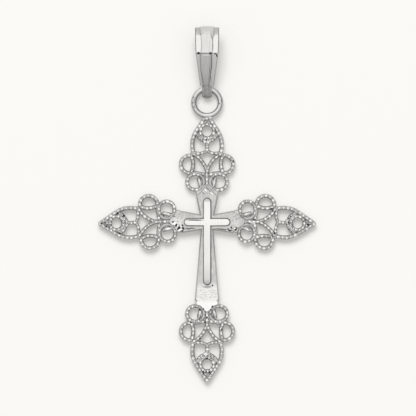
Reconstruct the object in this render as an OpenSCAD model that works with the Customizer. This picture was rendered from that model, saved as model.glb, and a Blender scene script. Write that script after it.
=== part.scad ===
// Filigree cross pendant: a flared plate cross with a raised inner cross, four pierced
// filigree finials and a soldered top ring, and a tapered bail that hangs on the ring.
// It lies on its flat back. X runs along the side arms, Y up the cross to the bail, Z out of the face.
// The origin is the crossing of the arms, on the flat back.

/* [Plate cross] */
// Thickness of the plate cross
plate_t = 1.10; // [1.05:0.05:1.3]
// Half width of the plate beside the upper inner corners
waist_half = 0.70; // [0.66:0.01:0.74]
// Half width of the long lower arm just under the crossing
shaft_waist_half = 0.60; // [0.56:0.01:0.66]
// Half width of a short arm at its flared end
arm_flare_half = 1.05; // [0.95:0.01:1.12]
// Distance from the crossing to the flared end of a short arm
arm_reach = 2.46; // [2.40:0.02:2.56]
// Half width of the lower arm at its flared end
shaft_flare_half = 1.17; // [1.05:0.01:1.22]
// Length that the lower arm has over a short arm
shaft_extra = 4.91; // [4.5:0.01:5.5]
// Height of the pointed gable at the end of a short arm
gable_h = 1.16; // [1.0:0.02:1.3]
// Height of the pointed gable at the end of the lower arm
shaft_gable_h = 0.98; // [0.9:0.02:1.2]

/* [Inner cross] */
// Height of the raised inner cross above the plate
inner_rise = 0.30; // [0.1:0.05:0.4]
// Width of both bars of the inner cross
inner_w = 0.65; // [0.5:0.01:0.72]
// Reach of the inner cross above the crossing
inner_up = 2.26; // [2.0:0.02:2.4]
// Reach of the inner cross below the crossing
inner_down = 5.93; // [5.0:0.01:6.2]
// Reach of the inner cross to each side
inner_side = 2.16; // [2.0:0.02:2.3]

/* [Filigree finials] */
// Thickness of the pierced filigree
filigree_t = 1.00; // [0.9:0.05:1.05]
// Width of the wire that rims the side loops and the teardrop
rim_w = 0.42; // [0.38:0.01:0.44]
// Width of the finer wires inside
wire_w = 0.36; // [0.34:0.01:0.38]
// Turn of the two side finials towards the foot of the cross, about their side loops, in degrees
side_droop = 2.0; // [0:0.1:3]
// Distance of the scroll loops next to the plate from the crossing
scroll_at = 3.81; // [3.76:0.01:3.86]
// Outer radius of the round ends of a scroll loop
scroll_r = 0.92; // [0.89:0.01:0.94]
// Distance of the side loops from the crossing
side_loop_at = 5.49; // [5.45:0.01:5.53]
// Outer radius of a side loop
side_loop_r = 1.045; // [1.02:0.005:1.07]
// Distance of the widest part of the teardrop from the crossing
drop_at = 7.315; // [7.265:0.01:7.365]
// Half width of the teardrop at its widest
drop_half = 1.634; // [1.594:0.01:1.674]
// Distance of the round eye in the teardrop from the crossing
eye_at = 8.62; // [8.58:0.01:8.66]
// Radius of the hole in the eye
eye_hole_r = 0.465; // [0.42:0.005:0.5]

/* [Top ring] */
// Distance of the ring's centre from the crossing
ring_at = 11.38; // [11.33:0.01:11.43]
// Radius of the ring at the middle of its wire
ring_r = 1.27; // [1.22:0.01:1.32]
// Radius of the ring's round wire
ring_wire_r = 0.265; // [0.24:0.005:0.28]

/* [Bail] */
// Outer radius of the bail's narrow round end, which passes round the ring's wire
end_r = 0.555; // [0.54:0.005:0.58]
// Distance of the middle of that round end below the ring's wire
end_drop = 0.43; // [0.40:0.01:0.46]
// Distance of the bail's knee above the ring's wire
knee_up = 3.84; // [3.6:0.02:4.0]
// Half depth of the bail at its knee
knee_half = 1.55; // [1.4:0.01:1.65]
// Distance of the centre of the rounded top above the ring's wire
cap_up = 5.25; // [5.1:0.01:5.4]
// Radius of the bail's rounded top
cap_r = 0.86; // [0.8:0.01:0.95]
// Thickness of the bail's strip at the knee and the top, under its middle panel
strip_t = 0.42; // [0.36:0.01:0.48]
// Radius of the round end of the bail's opening, under the ring's wire
slot_end_r = 0.305; // [0.29:0.005:0.32]
// Half width of the bail's strip beside the ring's wire
neck_half = 0.54; // [0.5:0.01:0.58]
// Half width of the bail's strip from the knee to the top
shoulder_half = 1.15; // [1.0:0.01:1.25]
// Half width of the raised middle panel at the top
panel_half = 0.56; // [0.5:0.01:0.62]
// Half width of the raised middle panel at the neck
panel_neck_half = 0.24; // [0.2:0.01:0.3]
// Height of the middle panel above the strips beside it
panel_rise = 0.15; // [0.1:0.01:0.17]

/* [Hidden] */
$fn = 72;
// Longer than any cut needs to be
reach = 20;

// Point of the teardrop: its half angle, where its straight sides would cross, and its rounding
tip_half_angle = 33.3;
tip_apex = 10.62;
tip_r = 0.31;
tip_at = 10.04;
// The straight sides stop here, inside the rounding
tip_cut = tip_at + tip_r / 2;
// Radius of the teardrop's two bowed sides, and where its rim ends at the base
drop_side_r = 3.56;
drop_base = 6.42;
// Two shallow arcs close the teardrop's base
hump = [0.76, 7.83];
hump_r = 1.30;
hump_w = 0.30;
hump_angles = [233, 299];
// V of wires from the stem to the corners of the teardrop's base
vee = [2.46, 4.24];
vee_r = 2.515;
vee_angles = [115.2, 162.8];
// Scroll loop: distances of its two round ends from the axis, its shoulder and the bud in it
scroll_ends = [1.02, 1.18];
shoulder = [[0.15, 4.70], [1.52, 4.66]];
shoulder_w = 0.29;
bud = [[0.66, 3.28], [0.75, 4.06]];
bud_w = 0.32;
// Side loop: its centre's distance from the axis, and the circle of its bowed inner wall
side_loop_u = 1.665;
side_wall_u = 3.00;
side_wall_r = 1.90;
// Stems on the axis
stem = [[0, 3.45], [0, 5.05]];
stem_w = 0.42;
drop_stem = [[0, 6.84], [0, 7.80]];
// Wing that wraps the inner side of the eye and runs out to the rim
wing_r = 0.965;
wing_w = 0.34;
wing_half_angle = 58;
wing_end = [1.10, 8.55];
// Short lug that seats the eye on the rim
lug = [[0.82, 8.30], [0.92, 8.75]];
lug_w = 0.24;
// Web where the scroll loops and the V meet the stem
web = [[-0.5, 4.15], [1.0, 0.5]];
// The top finial's point is filed off here for the ring to sit on
ring_seat = 10.08;

// Distance between two points, and a point on a circle
function span(a, b) = norm(b - a);
function on_circle(c, r, angle) = c + r * [cos(angle), sin(angle)];
// Angle at which a line from a point touches a circle, on its left or right as seen from the circle
function touch(c, r, p, turn) = atan2(p[1] - c[1], p[0] - c[0]) + turn * acos(r / span(c, p));
function flip(p) = [p[0], -p[1]];

// Bail, along its own length: round end, rounded top, knee, and the plan of its taper
end_c = [-end_drop, 0];
cap_c = [cap_up, 0];
knee = [knee_up, knee_half];
end_reach = end_drop + end_r;
end_corner_r = 0.20;
// The bend inside the knee lies this much nearer the ring than the one outside
inner_bend_shift = 0.06;
function strip_half(u) = neck_half + (shoulder_half - neck_half) * u / knee_up;
// The bail lies back on its rear leg, which sets its tilt and the height of the ring's wire
bail_tilt = touch(end_c, end_r, knee, 1) - 90;
ring_z = end_r + end_drop * sin(bail_tilt);

// A straight wire with round ends
module bar(ends, w) {
    for (p = ends) translate(p) circle(d = w);
    translate(ends[0])
        rotate(atan2(ends[1][1] - ends[0][1], ends[1][0] - ends[0][0]))
            translate([0, -w / 2]) square([span(ends[0], ends[1]), w]);
}

// A curved wire with round ends, between two angles less than half a turn apart
module bow(c, r, w, angles) {
    middle = (angles[0] + angles[1]) / 2;
    translate(c) {
        intersection() {
            difference() {
                circle(r = r + w / 2);
                circle(r = r - w / 2);
            }
            polygon([[0, 0], for (a = [angles[0], middle, angles[1]]) reach * [cos(a), sin(a)]]);
        }
        for (a = angles) rotate(a) translate([r, 0]) circle(d = w);
    }
}

// An outline with two round ends on one level
module oblong(ends, at, r) {
    for (u = ends) translate([u, at]) circle(r = r);
    translate([ends[0], at - r]) square([ends[1] - ends[0], 2 * r]);
}

// Area of the teardrop inside an even margin, from a base line up to a flat cut under its point
module drop_area(margin, base, top) {
    intersection() {
        translate([drop_half - drop_side_r, drop_at]) circle(r = drop_side_r - margin);
        translate([drop_side_r - drop_half, drop_at]) circle(r = drop_side_r - margin);
        translate([0, tip_apex - margin / sin(tip_half_angle)])
            polygon([[0, 0], for (s = [-1, 1]) reach * [s * sin(tip_half_angle), -cos(tip_half_angle)]]);
        translate([-reach / 2, base]) square([reach, top - base]);
    }
}

// The wires of a finial on one side of its axis
module finial_side() {
    difference() {
        oblong(scroll_ends, scroll_at, scroll_r);
        oblong(scroll_ends, scroll_at, scroll_r - wire_w);
    }
    bar(shoulder, shoulder_w);
    bar(bud, bud_w);
    difference() {
        intersection() {
            translate([side_loop_u, side_loop_at]) circle(r = side_loop_r);
            translate([side_wall_u, side_loop_at]) circle(r = side_wall_r);
        }
        intersection() {
            translate([side_loop_u, side_loop_at]) circle(r = side_loop_r - rim_w);
            translate([side_wall_u, side_loop_at]) circle(r = side_wall_r - rim_w);
        }
    }
    bow(vee, vee_r, wire_w, vee_angles);
    bow(hump, hump_r, hump_w, hump_angles);
    bar([on_circle([0, eye_at], wing_r, wing_half_angle - 90), wing_end], wing_w);
    bar(lug, lug_w);
}

// A finial, drawn with its axis up and its plate end towards the crossing
module finial() {
    for (side = [0, 1]) mirror([side, 0]) finial_side();
    bar(stem, stem_w);
    translate(web[0]) square(web[1]);
    bar(drop_stem, wire_w);
    difference() {
        union() {
            drop_area(0, drop_base, tip_cut);
            translate([0, tip_at]) circle(r = tip_r);
        }
        drop_area(rim_w, drop_base - 1, tip_apex);
    }
    difference() {
        translate([0, eye_at]) circle(r = eye_hole_r + wire_w);
        translate([0, eye_at]) circle(r = eye_hole_r);
    }
    bow([0, eye_at], wing_r, wing_w, [-90 - wing_half_angle, -90 + wing_half_angle]);
}

module finials() {
    color("silver") linear_extrude(filigree_t) {
        difference() {
            finial();
            translate([-reach / 2, ring_seat]) square([reach, reach]);
        }
        for (s = [-1, 1]) rotate(s * 90)
            translate([0, side_loop_at]) rotate(s * side_droop) translate([0, -side_loop_at]) finial();
        translate([0, -shaft_extra]) rotate(180) finial();
    }
}

module plate() {
    foot = arm_reach + shaft_extra;
    // Right half of the outline, from the foot up to the top
    right = [
        [0, -foot - shaft_gable_h], [shaft_flare_half, -foot], [shaft_waist_half, -waist_half],
        [arm_reach, -arm_flare_half], [arm_reach + gable_h, 0], [arm_reach, arm_flare_half],
        [waist_half, waist_half], [arm_flare_half, arm_reach], [0, arm_reach + gable_h]
    ];
    left = [for (k = [len(right) - 2:-1:1]) [-right[k][0], right[k][1]]];
    color("gainsboro") linear_extrude(plate_t) polygon(concat(right, left));
}

module inner_cross() {
    e = inner_w / 2;
    color("white") linear_extrude(plate_t + inner_rise) {
        bar([[0, -inner_down + e], [0, inner_up - e]], inner_w);
        bar([[-inner_side + e, 0], [inner_side - e, 0]], inner_w);
    }
}

module top_ring() {
    color("silver") translate([0, ring_at, ring_z])
        rotate_extrude() translate([ring_r, 0]) circle(r = ring_wire_r);
}

module filigree_cross() {
    union() {
        finials();
        plate();
        inner_cross();
        top_ring();
    }
}

// The bail seen from its side: a round end, two straight legs to the knee, and a rounded top
module bail_side(small_r, bend, top_r) {
    low = on_circle(end_c, small_r, touch(end_c, small_r, bend, 1));
    high = on_circle(cap_c, top_r, touch(cap_c, top_r, bend, -1));
    translate(end_c) circle(r = small_r);
    translate(cap_c) circle(r = top_r);
    polygon([low, flip(low), flip(bend), flip(high), high, bend]);
}

// A side view given a width, with the bail's length along Y
module wide(w) {
    rotate([90, 0, 90]) translate([0, 0, -w / 2]) linear_extrude(w) children();
}

// A plan given a depth over and under the middle of the bail
module deep() {
    translate([0, 0, -reach / 2]) linear_extrude(reach) children();
}

module bail_plan() {
    low = end_corner_r - end_reach;
    half = strip_half(low);
    polygon([
        [half, low], [shoulder_half, knee_up], [shoulder_half, reach],
        [-shoulder_half, reach], [-shoulder_half, knee_up], [-half, low]
    ]);
    for (s = [-1, 1]) translate([s * (half - end_corner_r), low]) circle(r = end_corner_r);
    translate([end_corner_r - half, -end_reach]) square([2 * (half - end_corner_r), end_reach]);
}

module panel_plan() {
    polygon([
        [panel_neck_half, -reach], [panel_neck_half, 0], [panel_half, knee_up], [panel_half, reach],
        [-panel_half, reach], [-panel_half, knee_up], [-panel_neck_half, 0], [-panel_neck_half, -reach]
    ]);
}

module bail() {
    low_knee = knee - [0, panel_rise];
    slot_knee = knee - [inner_bend_shift, strip_t];
    color("lightgray") translate([0, ring_at + ring_r, ring_z]) rotate([bail_tilt, 0, 0])
        difference() {
            intersection() {
                union() {
                    wide(2 * reach) bail_side(end_r, low_knee, cap_r - panel_rise);
                    intersection() {
                        wide(2 * reach) bail_side(end_r, knee, cap_r);
                        deep() panel_plan();
                    }
                }
                deep() bail_plan();
            }
            wide(2 * reach) bail_side(slot_end_r, slot_knee, cap_r - strip_t);
        }
}

filigree_cross();
bail();
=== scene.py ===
# %% [markdown]
# A small filigree cross pendant in white gold, lying on its flat back on white paper.
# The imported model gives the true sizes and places. This lesson builds the finished look round it:
# a bevelled plate cross, a raised inner cross, four finials of beaded wire, a soldered ring and a bail.
# Lengths are written in millimetres, as a goldsmith would, and turned to metres when a piece is done.

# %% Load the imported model
import random
from math import acos, atan2, ceil, cos, degrees, pi, radians, sin, sqrt
import bmesh
import bpy
from mathutils import Matrix, Vector


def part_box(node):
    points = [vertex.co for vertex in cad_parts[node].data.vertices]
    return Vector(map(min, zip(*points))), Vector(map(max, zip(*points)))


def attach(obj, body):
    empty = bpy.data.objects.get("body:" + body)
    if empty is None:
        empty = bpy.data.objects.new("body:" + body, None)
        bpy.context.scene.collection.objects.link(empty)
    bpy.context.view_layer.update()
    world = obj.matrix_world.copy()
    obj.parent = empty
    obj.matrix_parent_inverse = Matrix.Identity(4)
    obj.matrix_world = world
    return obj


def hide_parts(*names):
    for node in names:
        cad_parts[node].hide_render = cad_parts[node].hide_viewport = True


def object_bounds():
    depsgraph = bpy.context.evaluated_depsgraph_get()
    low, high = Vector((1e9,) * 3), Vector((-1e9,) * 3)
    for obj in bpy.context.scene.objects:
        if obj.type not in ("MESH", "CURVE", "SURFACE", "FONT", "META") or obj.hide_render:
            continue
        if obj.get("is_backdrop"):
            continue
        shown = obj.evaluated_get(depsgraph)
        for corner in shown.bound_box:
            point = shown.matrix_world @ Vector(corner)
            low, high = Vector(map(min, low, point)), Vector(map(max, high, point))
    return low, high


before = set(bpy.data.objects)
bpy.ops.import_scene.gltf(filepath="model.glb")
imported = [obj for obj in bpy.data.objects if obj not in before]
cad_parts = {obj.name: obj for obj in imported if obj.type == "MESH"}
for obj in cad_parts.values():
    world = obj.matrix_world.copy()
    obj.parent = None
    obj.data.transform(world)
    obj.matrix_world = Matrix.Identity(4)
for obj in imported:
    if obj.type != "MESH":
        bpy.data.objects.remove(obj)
cad_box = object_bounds()
MM = 0.001
cross_low, cross_high = (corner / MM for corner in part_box("filigree_cross"))
bail_low, bail_high = (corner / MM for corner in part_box("bail"))
print("cross box in mm", [round(v, 2) for v in (*cross_low, *cross_high)])
print("bail box in mm", [round(v, 2) for v in (*bail_low, *bail_high)])

# %% [markdown]
# The camera looks straight down, as the photographer's did. A long lens far away keeps the tall bail
# from looking larger than the cross. One pixel of the picture is 0.095 mm, and the picture's middle
# lies a little up the cross from the crossing of its arms.

# %% Camera
PICTURE_SIDE = 416
PIXEL = 0.095
VIEW_CENTRE = (0.09, 1.344)
# Height above the paper at which a pixel has its true size
TRUE_HEIGHT = 1
LENS = 600
SENSOR = 36
# How near and how far the camera sees, in metres
NEAREST = 0.05
FARTHEST = 5

camera = bpy.data.objects.new("camera", bpy.data.cameras.new("camera"))
bpy.context.scene.collection.objects.link(camera)
camera.data.lens = LENS
camera.data.sensor_width = SENSOR
camera_height = PICTURE_SIDE * PIXEL * LENS / SENSOR
camera.location = Vector((*VIEW_CENTRE, camera_height + TRUE_HEIGHT)) * MM
camera.data.clip_start = NEAREST
camera.data.clip_end = FARTHEST
bpy.context.scene.camera = camera
print("camera height in mm", round(camera_height))

# %% [markdown]
# Colours are written as the hex values that a paint program shows. Blender works in linear light,
# so one function turns them. A material is a tree of nodes, and a second function adds each node
# with its settings and links.

# %% Colour and node helpers
def linear(hex_colour):
    """Turns a hex colour to linear light by the sRGB curve, which is straight near black."""
    channels = [int(hex_colour[k:k + 2], 16) / 255 for k in (1, 3, 5)]
    turned = [c / 12.92 if c <= 0.04045 else ((c + 0.055) / 1.055) ** 2.4 for c in channels]
    return (*turned, 1.0)


print("the hex grey #808080 in linear light", round(linear("#808080")[0], 3))


def add_node(tree, kind, inputs=None, **settings):
    """Adds a node. An input's value is a number, a colour, or another node's output to link."""
    node = tree.nodes.new(kind)
    for name, value in settings.items():
        setattr(node, name, value)
    for name, value in (inputs or {}).items():
        if isinstance(value, bpy.types.NodeSocket):
            tree.links.new(value, node.inputs[name])
        else:
            node.inputs[name].default_value = value
    return node

# %% [markdown]
# Polished metal shows what stands round it, so the light is a jeweller's light tent: a bright roof that
# leans a little towards the top of the picture, grey walls, and a white card at the top of the picture.
# It could be built from sheets and lamps. Here the world's background draws it by direction, which
# is quicker to render and to change. The dim walls draw the grey outline of every wire, and the roof
# lights the crests and beads.

# %% Light tent
scene = bpy.context.scene
scene.view_settings.view_transform = "Standard"
scene.view_settings.look = "None"
TENT_LEAN = radians(8)
TENT_STRENGTH = 1.15
# Angle from the tent's bright middle in degrees, and the brightness there
TENT_LEVELS = [(95, 0.28), (85, 0.31), (70, 0.43), (58, 0.58), (42, 0.85), (30, 1.0)]
CARD_LEVEL = 0.70
# How far a direction points up the picture where the card begins, and where it is full
CARD_EDGE = (0.55, 0.75)

world = bpy.data.worlds.new("light_tent")
scene.world = world
world.use_nodes = True
tent = world.node_tree
tent.nodes.clear()
lookup = add_node(tent, "ShaderNodeTexCoord").outputs["Generated"]
lean = add_node(tent, "ShaderNodeVectorMath", {0: lookup, 1: (0, sin(TENT_LEAN), cos(TENT_LEAN))},
                operation="DOT_PRODUCT")
spread = add_node(tent, "ShaderNodeMapRange", {
    "Value": lean.outputs["Value"], "From Min": -1.0, "From Max": 1.0})
tent_ramp = add_node(tent, "ShaderNodeValToRGB", {"Fac": spread.outputs["Result"]})
stops = tent_ramp.color_ramp.elements
while len(stops) < len(TENT_LEVELS):
    stops.new(0.5)
for stop, (angle, level) in zip(stops, TENT_LEVELS):
    stop.position = (1 + cos(radians(angle))) / 2
    stop.color = (level, level, level, 1)
up_picture = add_node(tent, "ShaderNodeSeparateXYZ", {"Vector": lookup}).outputs["Y"]
card = add_node(tent, "ShaderNodeMapRange", {
    "Value": up_picture, "From Min": CARD_EDGE[0], "From Max": CARD_EDGE[1], "To Max": CARD_LEVEL})
seen = add_node(tent, "ShaderNodeMath", {0: tent_ramp.outputs["Color"], 1: card.outputs["Result"]},
                operation="MAXIMUM")
tent_light = add_node(tent, "ShaderNodeBackground", {
    "Color": seen.outputs["Value"], "Strength": TENT_STRENGTH})
add_node(tent, "ShaderNodeOutputWorld", {"Surface": tent_light.outputs["Background"]})
print("tent levels", [level for _, level in TENT_LEVELS])

# %% [markdown]
# A soft box gives the pendant its shadow. It stands 2 m away, 30 degrees off overhead towards the top
# of the picture and a little to the left, so the soft shadow falls down the picture. A photographer's
# polariser would keep its reflection out of the metal. Here glossy surfaces just don't see it.

# %% Soft box
SOFT_BOX_FROM = Vector((-0.08, 0.50, 0.86)).normalized()
# Distance and width in metres, power in watts
SOFT_BOX_AWAY = 2.0
SOFT_BOX_WIDTH = 1.15
SOFT_BOX_POWER = 49.3

soft_box = bpy.data.objects.new("soft_box", bpy.data.lights.new("soft_box", "AREA"))
scene.collection.objects.link(soft_box)
soft_box.data.shape = "DISK"
soft_box.data.size = SOFT_BOX_WIDTH
soft_box.data.energy = SOFT_BOX_POWER
soft_box.visible_glossy = False
soft_box.location = SOFT_BOX_FROM * SOFT_BOX_AWAY
soft_box.rotation_mode = "QUATERNION"
soft_box.rotation_quaternion = SOFT_BOX_FROM.to_track_quat("Z", "Y")
print("soft box, degrees off overhead", round(degrees(acos(SOFT_BOX_FROM.z)), 1))

# %% [markdown]
# The paper lies on a light table, so nearly a third of its light comes from below and the shadows stay
# pale. A lamp under a thin sheet would do the same. It is simpler to let the sheet glow by itself.

# %% Paper
# Width of the sheet in metres, and the strength of its glow
PAPER_SIDE = 3.0
PAPER_GLOW = 0.285

paper_mesh = bpy.data.meshes.new("paper")
drawn = bmesh.new()
bmesh.ops.create_grid(drawn, x_segments=1, y_segments=1, size=PAPER_SIDE / 2)
drawn.to_mesh(paper_mesh)
drawn.free()
paper = bpy.data.objects.new("paper", paper_mesh)
scene.collection.objects.link(paper)
# Matt paper scatters light evenly, so it shows the shadows and no gloss
paper_finish = bpy.data.materials.new("matt_white_paper")
paper_finish.use_nodes = True
paper_shader = paper_finish.node_tree.nodes["Principled BSDF"]
paper_shader.inputs["Base Color"].default_value = linear("#A2A19F")
paper_shader.inputs["Roughness"].default_value = 0.9
paper_shader.inputs["Specular IOR Level"].default_value = 0.0
paper_shader.inputs["Emission Color"].default_value = linear("#FFFEFA")
paper_shader.inputs["Emission Strength"].default_value = PAPER_GLOW
paper_mesh.materials.append(paper_finish)
paper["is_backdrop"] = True
print("paper glow", PAPER_GLOW)

# %% [markdown]
# All the metal is one alloy, 14 carat white gold with a rhodium plate, so the finishes share a colour
# and differ in how they were worked. One function makes the metal. A fine noise is its grain, with a
# size and a height in millimetres, and larger clouds of noise vary the roughness as wear does.
# The real grain is finer than a pixel, so it is drawn as coarse as it needs to show.

# %% White gold
# The clouds of roughness are this many times as wide as the grain
CLOUD_WIDTH = 6
# Most of Blender's noise lies between these two values
NOISE_LOW = 0.3
NOISE_HIGH = 0.7


def white_gold(name, hex_colour, roughness, grain_mm, grain_height_mm, worn):
    """A plated metal with a fine grain. worn is how far its roughness varies over the piece."""
    material = bpy.data.materials.new(name)
    material.use_nodes = True
    tree = material.node_tree
    shader = tree.nodes["Principled BSDF"]
    place = add_node(tree, "ShaderNodeTexCoord").outputs["Object"]
    shader.inputs["Metallic"].default_value = 1.0
    shader.inputs["Base Color"].default_value = linear(hex_colour)
    cloud = add_node(tree, "ShaderNodeTexNoise", {
        "Vector": place, "Scale": 1 / (CLOUD_WIDTH * grain_mm * MM), "Detail": 3.0})
    rough = add_node(tree, "ShaderNodeMapRange", {
        "Value": cloud.outputs["Fac"], "From Min": NOISE_LOW, "From Max": NOISE_HIGH,
        "To Min": roughness - worn, "To Max": roughness + worn})
    tree.links.new(rough.outputs["Result"], shader.inputs["Roughness"])
    grain = add_node(tree, "ShaderNodeTexNoise", {
        "Vector": place, "Scale": 1 / (grain_mm * MM), "Detail": 2.0})
    bump = add_node(tree, "ShaderNodeBump", {
        "Height": grain.outputs["Fac"], "Distance": grain_height_mm * MM, "Strength": 1.0})
    tree.links.new(bump.outputs["Normal"], shader.inputs["Normal"])
    print("finish", name)
    return material

# %% [markdown]
# Wear, dirt and flaws recolour the metal at places, and so do painted light, painted shade and painted
# highlights. They could be painted on a picture that is wrapped round the piece. Masks made of nodes need
# no picture and stay sharp when the camera comes near: soft ellipses for single marks, noise for mottling,
# and bands along an axis. All read Object coordinates, so the marks stay on the metal from every side.

# %% Masks for wear and dirt
# A mark is at its full strength inside this share of its ellipse, and gone at this multiple of it
MARK_FULL = 0.65
MARK_GONE = 1.25


def recolour(material, hex_colour, *masks):
    """Blends the metal's colour towards another one where every mask is 1. A mask may be a number."""
    tree = material.node_tree
    colour = tree.nodes["Principled BSDF"].inputs["Base Color"]
    before = colour.links[0].from_socket if colour.links else tuple(colour.default_value)
    mask = masks[0]
    for other in masks[1:]:
        mask = add_node(tree, "ShaderNodeMath", {0: mask, 1: other}, operation="MULTIPLY").outputs["Value"]
    mixed = add_node(tree, "ShaderNodeMix", {"Factor": mask, 6: before, 7: linear(hex_colour)},
                     data_type="RGBA")
    tree.links.new(mixed.outputs[2], colour)


def paint_by_facing(material, hex_colour, start=0.80, end=0.30, kept_facing=(0, 0, 1)):
    """Paints a colour on the faces by the way they face. It comes in between two cosines of the angle to
    kept_facing, so faces turned that way keep the metal's colour. It is painted light where lighter than
    the metal and painted shade where darker."""
    tree = material.node_tree
    facing = add_node(tree, "ShaderNodeNewGeometry").outputs["Normal"]
    towards = add_node(tree, "ShaderNodeVectorMath", {0: facing, 1: kept_facing},
                       operation="DOT_PRODUCT")
    steep = add_node(tree, "ShaderNodeMapRange", {
        "Value": towards.outputs["Value"], "From Min": start, "From Max": end})
    recolour(material, hex_colour, steep.outputs["Result"])


def spots(material, marks):
    """Mask that is 1 inside soft ellipses. Each is x, y, half length, half width in mm, and its turn."""
    tree = material.node_tree
    place = add_node(tree, "ShaderNodeTexCoord").outputs["Object"]
    total = 0.0
    for x, y, half_length, half_width, turn in marks:
        near = add_node(tree, "ShaderNodeMapping", {
            "Vector": place, "Location": (x * MM, y * MM, 0), "Rotation": (0, 0, radians(turn)),
            "Scale": (half_length * MM, half_width * MM, 1)}, vector_type="TEXTURE")
        reach = add_node(tree, "ShaderNodeVectorMath", {0: near.outputs["Vector"]}, operation="LENGTH")
        inside = add_node(tree, "ShaderNodeMapRange", {
            "Value": reach.outputs["Value"], "From Min": MARK_GONE, "From Max": MARK_FULL})
        total = add_node(tree, "ShaderNodeMath", {0: total, 1: inside.outputs["Result"]},
                         operation="MAXIMUM").outputs["Value"]
    return total


def noise_mask(material, scale_mm, low, high):
    """Mask from a noise of some size in mm along x, y and z, turned to 0 to 1 between two levels."""
    tree = material.node_tree
    place = add_node(tree, "ShaderNodeTexCoord").outputs["Object"]
    sized = add_node(tree, "ShaderNodeVectorMath", {
        0: place, 1: tuple(1 / (size * MM) for size in scale_mm)}, operation="MULTIPLY")
    noise = add_node(tree, "ShaderNodeTexNoise", {
        "Vector": sized.outputs["Vector"], "Scale": 1.0, "Detail": 3.0})
    return add_node(tree, "ShaderNodeMapRange", {
        "Value": noise.outputs["Fac"], "From Min": low, "From Max": high}).outputs["Result"]


def band(material, axis, start_mm, end_mm):
    """Mask that rises from 0 to 1 along an axis, from one place to another in mm."""
    tree = material.node_tree
    place = add_node(tree, "ShaderNodeTexCoord").outputs["Object"]
    along = add_node(tree, "ShaderNodeSeparateXYZ", {"Vector": place}).outputs[axis]
    return add_node(tree, "ShaderNodeMapRange", {
        "Value": along, "From Min": start_mm * MM, "From Max": end_mm * MM}).outputs["Result"]

# %% [markdown]
# The wires were left as cast, so they have a grainy skin. Their beads were rolled with a milgrain
# wheel, which burnishes what it presses, so a bead is brighter and smoother than its wire.

# %% Wire and bead finishes
# A cast skin breaks up the light, so the wires look grey and soft
cast_wire = white_gold("cast_white_gold_wire", "#BFBEBC", 0.30, 0.10, 0.006, 0.08)
recolour(cast_wire, "#A5A4A2", noise_mask(cast_wire, (0.5, 0.5, 0.5), 0.45, 0.65))
# Painted light: the wires' sides are coloured lighter by the way they face
paint_by_facing(cast_wire, "#D5D4D1")
# Burnished metal mirrors the roof of the tent, so every bead carries a small white light
bead_top = white_gold("burnished_white_gold_beads", "#EBEAE7", 0.16, 0.10, 0.003, 0.04)
recolour(bead_top, "#C9C8C5", noise_mask(bead_top, (0.4, 0.4, 0.4), 0.45, 0.60))
# Painted shade: the beads' flanks are coloured darker by the way they face
paint_by_facing(bead_top, "#D2D1CE", 0.85, 0.45)

# %% [markdown]
# Every piece below ends the same way: doubled points are merged, its faces are turned outwards, its
# mesh is scaled from millimetres to metres, and edges sharper than a given angle stay crisp.
# Extruding gives edges and faces an order that varies from run to run, so they are sorted too.

# %% Finishing a piece
CRISP = radians(38)
SAME_POINT = 0.002


def same_order(shape):
    """Sorts edges and faces by the first, then the last, then the sum of their points' numbers."""
    shape.verts.index_update()
    many = len(shape.verts)

    def rank(item):
        numbers = [v.index for v in item.verts]
        return (min(numbers) * many + max(numbers)) * 4 * many + sum(numbers)

    shape.edges.sort(key=rank)
    shape.faces.sort(key=rank)


def finish_piece(name, shape, materials, node, crisp=CRISP):
    """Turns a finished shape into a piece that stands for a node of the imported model."""
    same_order(shape)
    bmesh.ops.remove_doubles(shape, verts=shape.verts, dist=SAME_POINT)
    bmesh.ops.recalc_face_normals(shape, faces=shape.faces)
    bmesh.ops.scale(shape, vec=(MM, MM, MM), verts=shape.verts)
    for face in shape.faces:
        face.smooth = True
    mesh = bpy.data.meshes.new(name)
    shape.to_mesh(mesh)
    shape.free()
    mesh.set_sharp_from_angle(angle=crisp)
    for material in materials:
        mesh.materials.append(material)
    piece = bpy.data.objects.new(name, mesh)
    scene.collection.objects.link(piece)
    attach(piece, "root")
    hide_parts(node)
    print(name, len(mesh.vertices), "vertices", len(mesh.polygons), "faces")

# %% [markdown]
# The plate and the inner cross are outlines pushed up to a height. A box could be cut to the same
# shape. A drawn outline keeps every corner where the goldsmith's file put it, and one half is enough,
# as the other one mirrors it.

# %% Outlines
def mirrored(right):
    """A closed outline from its right half, which starts and ends on the middle line."""
    return right + [(-x, y) for x, y in reversed(right[1:-1])]


def push_up(shape, outline, low, high):
    """Draws an outline as a face and pushes it up. Gives the edges of the top face."""
    floor_points = [shape.verts.new((x, y, low)) for x, y in outline]
    face = shape.faces.new(floor_points)
    raised = bmesh.ops.extrude_face_region(shape, geom=[face], use_keep_orig=True)["geom"]
    top_points = [item for item in raised if isinstance(item, bmesh.types.BMVert)]
    bmesh.ops.translate(shape, vec=(0, 0, high - low), verts=top_points)
    return [item for item in raised if isinstance(item, bmesh.types.BMEdge)]
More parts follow.
